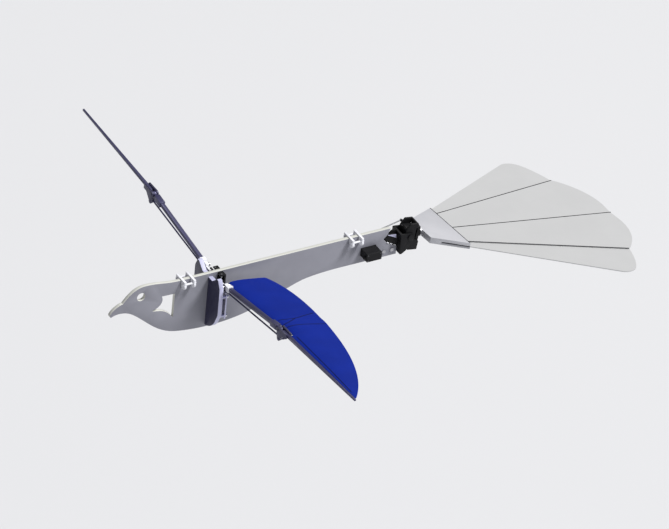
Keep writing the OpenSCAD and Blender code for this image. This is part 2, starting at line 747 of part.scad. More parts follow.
module roll_servo() {
    color("#1c1c20") pitch_frame() difference() {
        union() {
            box([roll_tab_x - 16.5, -servo_w / 2, -servo_l / 2],
                [roll_tab_x - 16.5 + roll_body_l, servo_w / 2, servo_l / 2]);
            box([roll_tab_x, -servo_w / 2, -servo_l / 2 - servo_tab],
                [roll_tab_x + servo_tab_t, servo_w / 2, servo_l / 2 + servo_tab]);
            translate([roll_tab_x + 6, 0, 0]) rotate([0, 90, 0]) cylinder(h = 2.4, r = 5.6);
        }
        translate([roll_tab_x + 2, 0, 0]) rotate([0, 90, 0]) cylinder(h = 9, r = 1.6 + run);
        translate([roll_tab_x + 2, 0, 0]) rotate([0, 90, 0]) cylinder(h = 4, r = 3);
    }
}
module roll_shaft() {
    color("#c0c0c6") tail_frame() union() {
        translate([roll_tab_x + 3, 0, 0]) rotate([0, 90, 0])
            cylinder(h = clamp_start + 8 - roll_tab_x - 3, r = 1.6);
        translate([roll_tab_x + 8.7, 0, 0]) rotate([0, 90, 0])
            cylinder(h = clamp_start - roll_tab_x - 8.7, r = 6);
    }
}

// ---------- tail fan ----------
clamp_end = clamp_start + clamp_len;
module tail_clamp() {
    color("#d6d6e2") tail_frame() difference() {
        translate([0, 0, -clamp_t / 2]) linear_extrude(clamp_t) polygon([
            [clamp_start, -clamp_front_w / 2], [clamp_end, -clamp_rear_w / 2],
            [clamp_end, clamp_rear_w / 2], [clamp_start, clamp_front_w / 2]]);
        // the slots that the panels are glued into, open at the rear and the sides
        translate([clamp_end, 0, 0]) linear_extrude(feather_t) polygon([
            [inside, -seam_in], [cut, -seam_y - 0.4], [cut, seam_y + 0.4], [inside, seam_in]]);
        for (s = [-1, 1]) translate([clamp_end, 0, -feather_t]) linear_extrude(feather_t)
            polygon([[inside, s * (seam_in - lap)], [cut, s * (seam_y - lap)],
                     [cut, s * clamp_rear_w], [inside, s * clamp_rear_w]]);
        translate([clamp_start - cut, 0, 0]) rotate([0, 90, 0]) cylinder(h = 8 + cut, r = 1.6);
    }
}

// Points are [distance behind the clamp's rear face, distance from the centre line].
function edge_at(t, y0, a) = [t, y0 + t * tan(a)];
seam_in = edge_at(inside, seam_y, seam_a)[1];
outer_outline = concat(
    [edge_at(inside, edge_y, edge_a)],
    bez(edge_at(172, edge_y, edge_a), [180, 160.5], [189, 158.5], [197, 150.5], 8),
    bez([197, 150.5], [207, 137], [213.5, 116], edge_at(217.5, seam_y, seam_a), 5),
    [edge_at(215, seam_y - lap, seam_a), [inside, seam_in - lap]]
);
inner_outline = concat(
    [[inside, 0.15], [inside, seam_in]],
    bez(edge_at(217, seam_y, seam_a), [230, 88], [fan_len, 62], [fan_len, 24], 8),
    [[fan_len - 2, 0.15]]
);
module feather(outline, side, z0) {
    color("#cfcfcf") tail_frame() translate([clamp_end, 0, z0])
        linear_extrude(feather_t)
            polygon([for (p = outline) [p[0], side * p[1]]]);
}
module left_outer_feather() { feather(outer_outline, -1, -feather_t); }
module left_inner_feather() { feather(inner_outline, -1, 0); }
module right_inner_feather() { feather(inner_outline, 1, 0); }
module right_outer_feather() { feather(outer_outline, 1, -feather_t); }

keel_plate();
front_saddle_fore_arm();
front_saddle_aft_arm();
front_saddle_rods();
rear_saddle_fore_arm();
rear_saddle_aft_arm();
rear_saddle_rods();
left_bulkhead();
right_bulkhead();
left_rear_plate();
right_rear_plate();
frame_spacers();
frame_bolts();
wing_pivot_pins();
crank_carrier();
crank_bushing();
left_guide_bracket();
right_guide_bracket();
guide_rods();
crosshead();
crank_gear();
crank_shaft();
crank_pin();
idler_shaft();
idler_pinion();
idler_wheel();
motor_mount();
motor_can();
motor_shaft();
motor_pinion();
battery();
battery_tray();
speed_controller();
receiver();
left_root_fitting();
left_inner_spar();
left_tie_rod();
left_elbow_lever();
left_outer_spar();
left_inner_skin();
left_gusset_skin();
left_outer_skin();
right_root_fitting();
right_inner_spar();
right_tie_rod();
right_elbow_lever();
right_outer_spar();
pitch_servo();
pitch_horn();
pitch_pushrod();
tail_fork();
fork_bolts();
pitch_cradle();
roll_servo();
roll_shaft();
tail_clamp();
left_outer_feather();
left_inner_feather();
right_inner_feather();
right_outer_feather();
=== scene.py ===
# %% [markdown]
# # A model bird that flies by flapping
# The bird is a flat profile keel with two jointed wings, a crank drive between them and a fan tail. The
# hard parts arrive finished in shape from the mechanical model. This lesson gives them edges and surfaces,
# sews the wing's film, and sets up the light and the camera.

# %% Load the frame
import json
import math

import bmesh
import bpy
import numpy as np
from mathutils import Matrix, Vector


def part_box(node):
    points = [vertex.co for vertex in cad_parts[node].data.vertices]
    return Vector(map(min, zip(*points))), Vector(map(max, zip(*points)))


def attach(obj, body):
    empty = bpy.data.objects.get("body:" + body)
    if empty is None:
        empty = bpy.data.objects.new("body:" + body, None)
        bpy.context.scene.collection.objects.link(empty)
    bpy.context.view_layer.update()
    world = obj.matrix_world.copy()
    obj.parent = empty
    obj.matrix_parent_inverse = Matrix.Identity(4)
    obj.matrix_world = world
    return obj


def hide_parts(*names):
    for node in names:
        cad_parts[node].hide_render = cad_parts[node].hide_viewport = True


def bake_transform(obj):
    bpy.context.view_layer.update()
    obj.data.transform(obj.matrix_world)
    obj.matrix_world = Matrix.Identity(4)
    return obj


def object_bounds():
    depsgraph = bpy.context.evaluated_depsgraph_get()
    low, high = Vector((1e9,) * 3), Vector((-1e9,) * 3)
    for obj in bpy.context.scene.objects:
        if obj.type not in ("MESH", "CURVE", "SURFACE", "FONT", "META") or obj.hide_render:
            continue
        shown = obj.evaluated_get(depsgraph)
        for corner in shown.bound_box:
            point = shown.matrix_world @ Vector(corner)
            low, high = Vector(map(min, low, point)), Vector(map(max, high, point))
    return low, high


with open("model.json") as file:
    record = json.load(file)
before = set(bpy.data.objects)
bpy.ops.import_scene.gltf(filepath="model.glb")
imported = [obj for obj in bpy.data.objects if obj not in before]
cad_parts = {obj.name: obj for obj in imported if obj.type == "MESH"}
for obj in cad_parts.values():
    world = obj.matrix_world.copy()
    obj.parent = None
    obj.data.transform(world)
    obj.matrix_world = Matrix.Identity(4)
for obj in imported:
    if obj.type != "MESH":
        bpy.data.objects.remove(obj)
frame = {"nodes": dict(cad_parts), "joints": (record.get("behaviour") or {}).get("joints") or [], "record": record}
cad_box = [list(corner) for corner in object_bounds()]
MM = 0.001

# %% [markdown]
# ## The camera
# The view is nearly a parallel one, as on a drawing board. A camera far away with a long lens gives almost
# the same picture, and it can still be moved round the bird by its distance from it.

# %% Camera
AZIMUTH, ELEVATION, ROLL = (math.radians(a) for a in (-32.0, 33.7, 5.1))
PICTURE_WIDTH = 0.8655  # metres across the picture, at the bird
DISTANCE = 26.0
SENSOR = 36.0

back = Vector((math.sin(AZIMUTH) * math.cos(ELEVATION),
               -math.cos(AZIMUTH) * math.cos(ELEVATION), math.sin(ELEVATION)))
level = Vector((0, 0, 1)).cross(back).normalized()
steep = back.cross(level)
right = level * math.cos(ROLL) + steep * math.sin(ROLL)
up = back.cross(right)
aim = right * 0.16835 + up * 0.0117

camera_data = bpy.data.cameras.new("camera")
camera_data.sensor_width = SENSOR
camera_data.clip_end = 100.0
camera_data.lens = SENSOR * DISTANCE / PICTURE_WIDTH
camera = bpy.data.objects.new("camera", camera_data)
bpy.context.scene.collection.objects.link(camera)
camera.matrix_world = Matrix.Translation(aim + back * DISTANCE) @ Matrix(
    (right, up, back)).transposed().to_4x4()
bpy.context.scene.camera = camera
print("lens", round(camera_data.lens, 1), "mm")

# %% [markdown]
# ## Light and floor
# Top faces are the brightest, left faces are half as bright and front faces are dark, so the main light is
# high, behind and to the left. It is a sun with a wide disc: its shadows are soft, and the floor stays
# evenly pale from every side. Two weak lamps soften the shadows. The floor is well below the bird, which
# hangs in the air as it does in flight.

# %% Lights, floor and sky
middle = (Vector(cad_box[0]) + Vector(cad_box[1])) / 2


def soft_light(name, place, width, power, colour=(1, 1, 1)):
    """A square lamp of that width and power in watts, at that place and turned to the bird."""
    lamp = bpy.data.lights.new(name, "AREA")
    lamp.shape, lamp.size, lamp.energy, lamp.color = "SQUARE", width, power, colour
    holder = bpy.data.objects.new(name, lamp)
    bpy.context.scene.collection.objects.link(holder)
    holder.location = place
    holder.rotation_euler = (middle - Vector(place)).to_track_quat("-Z", "Y").to_euler()
    return holder


sun = bpy.data.lights.new("key", "SUN")
sun.energy, sun.angle = 3.7, math.radians(16)
sun_holder = bpy.data.objects.new("key", sun)
bpy.context.scene.collection.objects.link(sun_holder)
sun_holder.rotation_euler = Vector((1.15, -0.75, 2.2)).to_track_quat("Z", "Y").to_euler()
soft_light("left_fill", (0.1, -2.6, 0.9), 1.4, 12, (0.93, 0.95, 1.0))
soft_light("tail_rim", (2.0, 1.4, 1.4), 1.0, 8, (1.0, 0.97, 0.93))

FLOOR_DROP = 0.75
FLOOR_RADIUS = 30.0
rim = np.linspace(0, 2 * np.pi, 97)[:-1]
floor_mesh = bpy.data.meshes.new("floor")
floor_mesh.from_pydata(
    np.column_stack([FLOOR_RADIUS * np.cos(rim), FLOOR_RADIUS * np.sin(rim),
                     np.full(rim.size, cad_box[0][2] - FLOOR_DROP)]).tolist(),
    [], [list(range(rim.size))])
floor = bpy.data.objects.new("floor", floor_mesh)
bpy.context.scene.collection.objects.link(floor)
paper = bpy.data.materials.new("floor_paper")
paper.use_nodes = True
paper.node_tree.nodes["Principled BSDF"].inputs["Base Color"].default_value = (0.60, 0.60, 0.61, 1)
paper.node_tree.nodes["Principled BSDF"].inputs["Roughness"].default_value = 0.9
floor_mesh.materials.append(paper)

sky = bpy.data.worlds.new("sky")
sky.use_nodes = True
sky.node_tree.nodes["Background"].inputs["Color"].default_value = (0.86, 0.88, 0.92, 1)
sky.node_tree.nodes["Background"].inputs["Strength"].default_value = 0.30
bpy.context.scene.world = sky
bpy.context.scene.view_settings.view_transform = "Standard"
print("floor at", round(cad_box[0][2] - FLOOR_DROP, 3), "m")

# %% [markdown]
# ## Building materials in code
# A material is a small graph. Writing each node and link by hand is long, so one helper makes a node, sets
# what it is given, and links whatever is a socket. Plain numbers stay on the shader itself.

# %% Helpers for shader graphs
def add(tree, kind, *inputs, **named):
    """A shader node: properties by name, inputs by place or by name, and a socket as value is linked."""
    node = tree.nodes.new(kind if kind.startswith("NodeGroup") else "ShaderNode" + kind)
    rest = {}
    for name, value in named.items():
        if hasattr(node, name) and not isinstance(value, bpy.types.NodeSocket):
            setattr(node, name, value)
        else:
            rest[name.replace("_", " ")] = value
    for key, value in [*enumerate(inputs), *rest.items()]:
        if isinstance(value, bpy.types.NodeSocket):
            tree.links.new(value, node.inputs[key])
        elif value is not None:
            node.inputs[key].default_value = value
    return node


def math_node(tree, operation, *values):
    """The result of a Math node."""
    return add(tree, "Math", *values, operation=operation).outputs[0]


def ramp(tree, value, low, high, to_low=0.0, to_high=1.0):
    """value moved smoothly from the range low..high to to_low..to_high, and held at its ends."""
    return add(tree, "MapRange", value, low, high, to_low, to_high,
               interpolation_type="SMOOTHSTEP").outputs[0]


def mix_colour(tree, share, first, second, blend="MIX"):
    """Two colours mixed by share."""
    node = tree.nodes.new("ShaderNodeMix")
    node.data_type, node.blend_type = "RGBA", blend
    for key, value in ((0, share), (6, first), (7, second)):
        if isinstance(value, bpy.types.NodeSocket):
            tree.links.new(value, node.inputs[key])
        elif key == 0:
            node.inputs[key].default_value = value
        else:
            node.inputs[key].default_value = (*value[:3], 1)
    return node.outputs[2]


def group(name, inputs, outputs):
    """An empty node group with named inputs and outputs: its tree, input node and output node."""
    tree = bpy.data.node_groups.new(name, "ShaderNodeTree")
    for socket, kind, value in inputs:
        made = tree.interface.new_socket(socket, in_out="INPUT", socket_type="NodeSocket" + kind)
        if value is not None:
            made.default_value = value
    for socket, kind in outputs:
        tree.interface.new_socket(socket, in_out="OUTPUT", socket_type="NodeSocket" + kind)
    return tree, tree.nodes.new("NodeGroupInput"), tree.nodes.new("NodeGroupOutput")


def use(tree, effect, **values):
    """One use of a group in a material."""
    node = tree.nodes.new("ShaderNodeGroup")
    node.node_tree = effect
    for name, value in values.items():
        key = name.replace("_", " ")
        if isinstance(value, bpy.types.NodeSocket):
            tree.links.new(value, node.inputs[key])
        else:
            node.inputs[key].default_value = value
    return node


def shader(name, **settings):
    """A new material: its graph, its Principled shader and the piece's own coordinates in metres."""
    material = bpy.data.materials.new(name)
    material.use_nodes = True
    tree = material.node_tree
    surface = tree.nodes["Principled BSDF"]
    for key, value in settings.items():
        surface.inputs[key.replace("_", " ")].default_value = value
    here = tree.nodes.new("ShaderNodeTexCoord").outputs["Object"]
    return material, tree, surface, here


# %% [markdown]
# ## Effects that several finishes share
# Grain is the fine unevenness of moulded or sanded surfaces: two scales of noise, one for the colour and
# one for the relief. Layers are the lines of a printed part. Wear lightens the edges that hands and tools
# touch, and on the dark bars the same edge mask paints highlights: a rounded copy of the normal differs
# from the true one only near an edge.

# %% Shared effects
grain, grain_in, grain_out = group(
    "grain", [("Place", "Vector", None), ("Fine", "Float", 900.0), ("Broad", "Float", 40.0)],
    [("Relief", "Float"), ("Mottle", "Float")])
fine = add(grain, "TexNoise", grain_in.outputs["Place"], None, grain_in.outputs["Fine"], Detail=3.0)
broad = add(grain, "TexNoise", grain_in.outputs["Place"], None, grain_in.outputs["Broad"], Detail=2.0)
grain.links.new(fine.outputs[0], grain_out.inputs["Relief"])
grain.links.new(ramp(grain, broad.outputs[0], 0.3, 0.7), grain_out.inputs["Mottle"])

layers, layers_in, layers_out = group(
    "printed_layers", [("Place", "Vector", None), ("Pitch", "Float", 0.0003)], [("Relief", "Float")])
height = add(layers, "SeparateXYZ", layers_in.outputs["Place"]).outputs[2]
turns = math_node(layers, "DIVIDE", height, layers_in.outputs["Pitch"])
wave = math_node(layers, "SINE", math_node(layers, "MULTIPLY", turns, 2 * math.pi))
layers.links.new(math_node(layers, "ABSOLUTE", wave), layers_out.inputs["Relief"])

wear, wear_in, wear_out = group(
    "edge_wear_and_highlight", [("Place", "Vector", None), ("Radius", "Float", 0.0004), ("Amount", "Float", 0.5)],
    [("Mask", "Float")])
rounded = add(wear, "Bevel", wear_in.outputs["Radius"], samples=4).outputs[0]
true_normal = wear.nodes.new("ShaderNodeNewGeometry").outputs["Normal"]
match = add(wear, "VectorMath", rounded, true_normal, operation="DOT_PRODUCT").outputs["Value"]
edge = ramp(wear, match, 0.99, 0.80)
patchy = add(wear, "TexNoise", wear_in.outputs["Place"], None, 260.0, Detail=4.0).outputs[0]
worn = math_node(wear, "MULTIPLY", edge, ramp(wear, patchy, 0.42, 0.62, 0.15, 1.0))
wear.links.new(math_node(wear, "MULTIPLY", worn, wear_in.outputs["Amount"]), wear_out.inputs["Mask"])
print("effects", [g.name for g in bpy.data.node_groups])

# %% [markdown]
# ## The finishes
# Every hard finish is the same recipe with its own numbers: a base colour that varies a little, worn edges
# (painted highlights on the dark bars), a roughness that varies with the same mottle, and a relief. So one
# function holds the recipe.

# %% One recipe for hard finishes
def finish(name, colour, roughness, metallic=0.0, wear_and_highlight_colour=None, wear_and_highlight_amount=0.5, fine=900.0, broad=40.0,
           relief=0.00003, mottle=0.12, layer_pitch=0.0, **more):
    """A hard finish: mottled colour, lightened edges (wear, and painted highlights on the dark bars), varied
    roughness, fine relief and optional print lines.
    """
    material, tree, surface, here = shader(name, Metallic=metallic, **more)
    texture = use(tree, grain, Place=here, Fine=fine, Broad=broad)
    darker = tuple(c * (1 - mottle) for c in colour)
    base = mix_colour(tree, texture.outputs["Mottle"], colour, darker)
    if wear_and_highlight_colour:
        mask = use(tree, wear, Place=here, Amount=wear_and_highlight_amount).outputs["Mask"]
        base = mix_colour(tree, mask, base, wear_and_highlight_colour)
    tree.links.new(base, surface.inputs["Base Color"])
    tree.links.new(ramp(tree, texture.outputs["Mottle"], 0, 1, roughness - 0.05, roughness + 0.06),
                   surface.inputs["Roughness"])
    bump = add(tree, "Bump", Strength=0.6, Distance=relief, Height=texture.outputs["Relief"])
    if layer_pitch:
        lines = use(tree, layers, Place=here, Pitch=layer_pitch).outputs["Relief"]
        bump = add(tree, "Bump", Strength=0.5, Distance=0.00004, Height=lines, Normal=bump.outputs[0])
    tree.links.new(bump.outputs[0], surface.inputs["Normal"])
    return material, tree, surface, here


LAVENDER = (0.52, 0.52, 0.70)
# Painted shade: the navy that the bulkheads' front and rear faces get in place of their lavender
PAINTED_SHADE_NAVY = (0.019, 0.018, 0.056)
finishes = {
    "lavender_alloy": finish("lavender_alloy", LAVENDER, 0.38, 0.55, (0.8, 0.8, 0.86), 0.5)[0],
    # spar_alloy and dark_alloy: the navy body is painted shade on lavender bars, and the lavender edges from the
    # edge mask are painted highlights
    "spar_alloy": finish("spar_alloy", (0.045, 0.043, 0.105), 0.42, 0.3, (0.62, 0.62, 0.78), 1.0)[0],
    "dark_alloy": finish("dark_alloy", (0.032, 0.031, 0.075), 0.42, 0.3, (0.4, 0.4, 0.5), 0.8)[0],
    "white_nylon": finish("white_nylon", (0.80, 0.80, 0.84), 0.5, layer_pitch=0.0003)[0],
    "black_nylon": finish("black_nylon", (0.007, 0.007, 0.008), 0.55, wear_and_highlight_colour=(0.07, 0.07, 0.075),
                          fine=1600.0, Specular_IOR_Level=0.2)[0],
    "gear_acetal": finish("gear_acetal", (0.74, 0.72, 0.64), 0.36, mottle=0.06)[0],
    "brass": finish("brass", (0.70, 0.48, 0.18), 0.28, 1.0, (0.95, 0.76, 0.42), 0.6)[0],
    "steel": finish("steel", (0.62, 0.62, 0.64), 0.26, 1.0, (0.85, 0.85, 0.87), 0.5)[0],
    "motor_steel": finish("motor_steel", (0.46, 0.46, 0.48), 0.34, 1.0, (0.7, 0.7, 0.7), 0.4)[0],
    "battery_wrap": finish("battery_wrap", (0.03, 0.06, 0.16), 0.22, mottle=0.2, relief=0.0001,
                           fine=120.0, Coat_Weight=0.4)[0],
    "tail_foam": finish("tail_foam", (0.46, 0.46, 0.46), 0.62, mottle=0.03, fine=1400.0, broad=18.0)[0],
    "clamp_print": finish("clamp_print", (0.45, 0.45, 0.475), 0.52, mottle=0.05, layer_pitch=0.0003)[0],
}
print(len(finishes), "plain finishes")

# %% [markdown]
# ### Sheets with a different cut edge
# The keel is a foam board between two grey skins: where it is cut, its pale core shows. The bulkheads are a
# lavender sheet whose front and rear faces are painted navy as painted shade, since the light falls from above
# and behind. Faces that look across the sheet get the skin's colour (the painted shade, on the bulkheads), and
# all others the core's, with thin lines where the layers meet.

# %% Laminated sheets, and painted shade on the bulkheads
def laminate_and_shade(name, skin, core, across, layer, roughness=0.5):
    """A sheet whose skins look along axis number across, and whose cut edges show layers that thick; on the
    bulkheads the skin colour is painted shade.
    """
    material, tree, surface, here = finish(name, skin, roughness, mottle=0.05, fine=1200.0)
    facing = tree.nodes.new("ShaderNodeTexCoord").outputs["Normal"]
    side = math_node(tree, "ABSOLUTE", add(tree, "SeparateXYZ", facing).outputs[across])
    depth = add(tree, "SeparateXYZ", here).outputs[across]
    line = math_node(tree, "SINE", math_node(tree, "MULTIPLY", depth, 2 * math.pi / layer))
    cut = mix_colour(tree, ramp(tree, line, 0.2, 1.0), core, tuple(0.8 * c for c in core))
    skin_and_shade_colour = surface.inputs["Base Color"].links[0].from_socket
    tree.links.new(mix_colour(tree, ramp(tree, side, 0.65, 0.8), cut, skin_and_shade_colour),
                   surface.inputs["Base Color"])
    return material


finishes["keel_board"] = laminate_and_shade("keel_board", (0.240, 0.240, 0.277), (0.60, 0.60, 0.55), 1, 0.0016)
# The bulkheads' navy faces are painted shade; their own colour is the lavender of their edges
finishes["frame_sheet"] = laminate_and_shade("frame_sheet", PAINTED_SHADE_NAVY, LAVENDER, 0, 0.002)
print(len(finishes), "finishes so far")

# %% Give every hard part its finish
slot_of = {row["node"]: row["material_slot"] for row in frame["record"]["subparts"]}
for node, part in frame["nodes"].items():
    if slot_of[node] in finishes:
        part.data.materials.clear()
        part.data.materials.append(finishes[slot_of[node]])
print("dressed", len(frame["nodes"]), "nodes")

# %% [markdown]
# ## Edges
# No real edge is perfectly sharp. A saw leaves a small chamfer on a board, and a mould or a printer leaves a
# small radius. The modelled parts are exact, so a copy of each gets a bevel and stands in for it. The
# copy's loose triangles are merged first, and flat ones are joined into whole faces, because a bevel needs
# to know which edges are real.

# %% Softened copies of the hard parts
FLAT = math.radians(0.6)
CORNER = math.radians(34)
body_of = {node: body for body, nodes in frame["record"]["behaviour"]["bodies"].items() for node in nodes}


def soften(node, width_mm, segments=2):
    """A copy of the node with its edges rounded: merged triangles, joined flats, then a bevel."""
    mesh = frame["nodes"][node].data.copy()
    work = bmesh.new()
    work.from_mesh(mesh)
    bmesh.ops.remove_doubles(work, verts=work.verts, dist=1e-6)
    bmesh.ops.dissolve_limit(work, angle_limit=FLAT, verts=work.verts, edges=work.edges)
    work.to_mesh(mesh)
    work.free()
    mesh.polygons.foreach_set("use_smooth", [True] * len(mesh.polygons))
    copy = bpy.data.objects.new(node + "_edged", mesh)
    bpy.context.scene.collection.objects.link(copy)
    bevel = copy.modifiers.new("edges", "BEVEL")
    bevel.width, bevel.segments = width_mm * MM, segments
    bevel.limit_method, bevel.angle_limit = "ANGLE", CORNER
    bevel.harden_normals = True
    bevel.use_clamp_overlap = True
    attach(copy, body_of[node])
    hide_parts(node)
    return copy


edge_width = {
    "keel_plate": 0.35, "left_bulkhead": 0.4, "right_bulkhead": 0.4, "tail_clamp": 0.6, "tail_fork": 0.4,
    "pitch_cradle": 0.4, "left_rear_plate": 0.3, "right_rear_plate": 0.3, "crosshead": 0.25,
    "crank_carrier": 0.3, "motor_mount": 0.3, "battery_tray": 0.3, "pitch_horn": 0.25,
}
for arm in ("_saddle_fore_arm", "_saddle_aft_arm"):
    edge_width.update({end + arm: 0.45 for end in ("front", "rear")})
for side in ("left", "right"):
    edge_width.update({side + "_root_fitting": 0.4, side + "_inner_spar": 0.3, side + "_outer_spar": 0.25,
                       side + "_elbow_lever": 0.3, side + "_guide_bracket": 0.25})
for node, width in edge_width.items():
    soften(node, width)
print("softened", len(edge_width), "parts")

# %% [markdown]
# ## The wing's film
# The film is one sheet of ripstop cloth, sewn from three panels and stretched behind the bars. It is worked
# out as a height over two numbers: the distance out along the wing and the distance behind the bar. The
# height is a crown, a sine stretched towards the front, added to a slow fall to the rear: the film leaves
# the bar at mid height, rises a little, and comes down to the plane of its rear hem.

# %% Where the wing is
joint = {row["name"]: row for row in frame["joints"]}
shoulder = np.array(joint["left_flap"]["pos_m"])
elbow = np.array(joint["left_elbow"]["pos_m"])
INNER_LENGTH = float(np.linalg.norm(elbow - shoulder))
inner_out = (elbow - shoulder) / INNER_LENGTH
OUTER_RISE = math.radians(3.5)
outer_out = np.array([0, -math.cos(OUTER_RISE), math.sin(OUTER_RISE)])
aft = np.array([1.0, 0, 0])
inner_up = np.cross(inner_out, aft)
outer_up = np.cross(outer_out, aft)
print("inner wing", round(INNER_LENGTH, 4), "m, ups", inner_up.round(3), outer_up.round(3))


# %% The film's outline
def curve(a, b, c, d, t):
    """A cubic curve through a and d, pulled towards b and c, as an array of points."""
    t = np.asarray(t)[:, None]
    a, b, c, d = (np.array(p, float) for p in (a, b, c, d))
    return (1 - t) ** 3 * a + 3 * (1 - t) ** 2 * t * b + 3 * (1 - t) * t ** 2 * c + t ** 3 * d


fine_t = np.linspace(0, 1, 80)
root_out = -0.0076
trailing = np.vstack([
    curve((62, -7.6), (74, 25), (74, 75), (66.6, 128), fine_t),
    curve((66.6, 128), (66.2, 134), (65.8, 140), (65.5, 145), fine_t[1:]),
    curve((65.5, 145), (58.5, 233), (38, 293), (3.2, 336), fine_t[1:])]) * MM
leading_out = np.array([-7.6, 5.5, 6, 12.6, 13.2, 121, 122, 139, 165.5, 166.5, 205, 336]) * MM
leading_back = np.array([8.0, 4.5, 4.5, 4.5, 2.7, 2.7, 4.5, 6.6, 6.6, 2.3, 2.3, 1.5]) * MM
FILM_END = 0.336


def front_edge(out):
    """How far behind the bars' centre line the film starts."""
    return np.interp(out, leading_out, leading_back)


def rear_edge(out):
    """How far behind the bars' centre line the film ends."""
    return np.interp(out, trailing[:, 1], trailing[:, 0])


CAMBER, CREST, FALL = 0.042, 0.55, math.tan(math.radians(5.2))
BEND = 0.014  # metres on each side of the elbow over which the cloth bends


def film_point(out, behind):
    """The place of a point of the film, from its distances out along the wing and behind the bars."""
    start = front_edge(out)
    chord = np.maximum(rear_edge(out) - start, 0.002)
    share_back = np.clip((behind - start) / chord, 0, 1)
    crown = CAMBER * chord * np.sin(np.pi * share_back ** CREST)
    pucker = 0.00010 * np.sin(out * 900) * np.exp(-np.abs(out - 0.128) / 0.006)
    lift = crown - FALL * behind + pucker * np.sin(np.pi * share_back)
    inner = (shoulder + out[..., None] * inner_out + behind[..., None] * aft + lift[..., None] * inner_up)
    beyond = out - INNER_LENGTH
    outer = (elbow + beyond[..., None] * outer_out + behind[..., None] * aft + lift[..., None] * outer_up)
    share = np.clip((beyond + BEND) / (2 * BEND), 0, 1)
    share = (share * share * (3 - 2 * share))[..., None]
    return inner * (1 - share) + outer * share


# %% [markdown]
# A grid of points becomes a mesh by joining neighbours. The same helper serves open sheets and tubes that
# close on themselves.

# %% From grids to meshes
def grid_faces(rows, columns, wrap=False):
    """The quads between neighbours of a rows by columns grid; wrap joins the last column to the first."""
    index = np.arange(rows * columns).reshape(rows, columns)
    if wrap:
        index = np.column_stack([index, index[:, :1]])
    return np.stack([index[:-1, :-1], index[1:, :-1], index[1:, 1:], index[:-1, 1:]], -1).reshape(-1, 4)


def piece(name, points, faces, material, smooth=True):
    """A mesh object from points and faces, with its material, linked to the scene."""
    mesh = bpy.data.meshes.new(name)
    mesh.from_pydata(np.asarray(points).tolist(), [], [list(map(int, f)) for f in faces])
    mesh.polygons.foreach_set("use_smooth", [smooth] * len(mesh.polygons))
    mesh.materials.append(material)
    made = bpy.data.objects.new(name, mesh)
    bpy.context.scene.collection.objects.link(made)
    return made


# %% [markdown]
# ### Ripstop cloth
# Ripstop is a thin plain weave with a heavier thread every few millimetres. The pattern has to follow the
# cloth, so it reads the film's own UV map, which is measured in millimetres.

# %% Ripstop
weave, weave_in, weave_out = group(
    "ripstop", [("Place", "Vector", None), ("Square", "Float", 4.0)],
    [("Relief", "Float"), ("Thread", "Float")])
parts = add(weave, "SeparateXYZ", weave_in.outputs["Place"])


def threads(tree, along, pitch, low):
    """1 on a thread and 0 between threads that lie pitch apart."""
    turn = math_node(tree, "MULTIPLY", math_node(tree, "DIVIDE", along, pitch), 2 * math.pi)
    return ramp(tree, math_node(tree, "COSINE", turn), low, 1.0)


heavy = math_node(weave, "MAXIMUM", threads(weave, parts.outputs[0], weave_in.outputs["Square"], 0.93),
                  threads(weave, parts.outputs[1], weave_in.outputs["Square"], 0.93))
plain = math_node(weave, "MULTIPLY", threads(weave, parts.outputs[0], 0.5, -1.0),
                  threads(weave, parts.outputs[1], 0.5, -1.0))
weave.links.new(heavy, weave_out.inputs["Thread"])
weave.links.new(math_node(weave, "ADD", heavy, math_node(weave, "MULTIPLY", plain, 0.35)),
                weave_out.inputs["Relief"])

BLUE = (0.0030, 0.017, 0.235)
cloth, tree, surface, here = shader("wing_film", Specular_IOR_Level=0.06)
across = add(tree, "UVMap", uv_map="cloth").outputs[0]
ripstop = use(tree, weave, Place=across, Square=4.0)
texture = use(tree, grain, Place=here, Fine=700.0, Broad=22.0)
shade = mix_colour(tree, texture.outputs["Mottle"], BLUE, tuple(0.86 * c for c in BLUE))
threaded = mix_colour(tree, math_node(tree, "MULTIPLY", ripstop.outputs["Thread"], 0.35), shade,
                      (0.010, 0.038, 0.33))
tree.links.new(threaded, surface.inputs["Base Color"])
tree.links.new(ramp(tree, ripstop.outputs["Thread"], 0, 1, 0.55, 0.68), surface.inputs["Roughness"])
relief = add(tree, "Bump", Strength=0.5, Distance=0.00008, Height=ripstop.outputs["Relief"])
tree.links.new(relief.outputs[0], surface.inputs["Normal"])
finishes["wing_film"] = cloth

# Black for the sewn seams and the tail's tape, and for the painted shade bands and line on the film
seam_and_shade_black = finish("seam_thread_and_shade", (0.004, 0.004, 0.008), 0.7, fine=2400.0, Specular_IOR_Level=0.1)[0]
print("cloth ready")

# %% Cut and stretch the film
OUT_STEPS, BACK_STEPS = 230, 36
outs = np.linspace(root_out, FILM_END, OUT_STEPS)
shares = np.linspace(0, 1, BACK_STEPS) ** 1.35
out_grid = np.repeat(outs[:, None], BACK_STEPS, 1)
back_grid = front_edge(outs)[:, None] * (1 - shares) + rear_edge(outs)[:, None] * shares
film_points = film_point(out_grid, back_grid)
film = piece("wing_film", film_points.reshape(-1, 3), grid_faces(OUT_STEPS, BACK_STEPS), cloth)

uv = film.data.uv_layers.new(name="cloth")
corners = np.empty(len(film.data.loops), int)
film.data.loops.foreach_get("vertex_index", corners)
flat_places = np.column_stack([out_grid.ravel(), back_grid.ravel()]) / MM
uv.data.foreach_set("uv", flat_places[corners].ravel())

solid = film.modifiers.new("thickness", "SOLIDIFY")
solid.thickness, solid.offset = 0.0003, 0.0
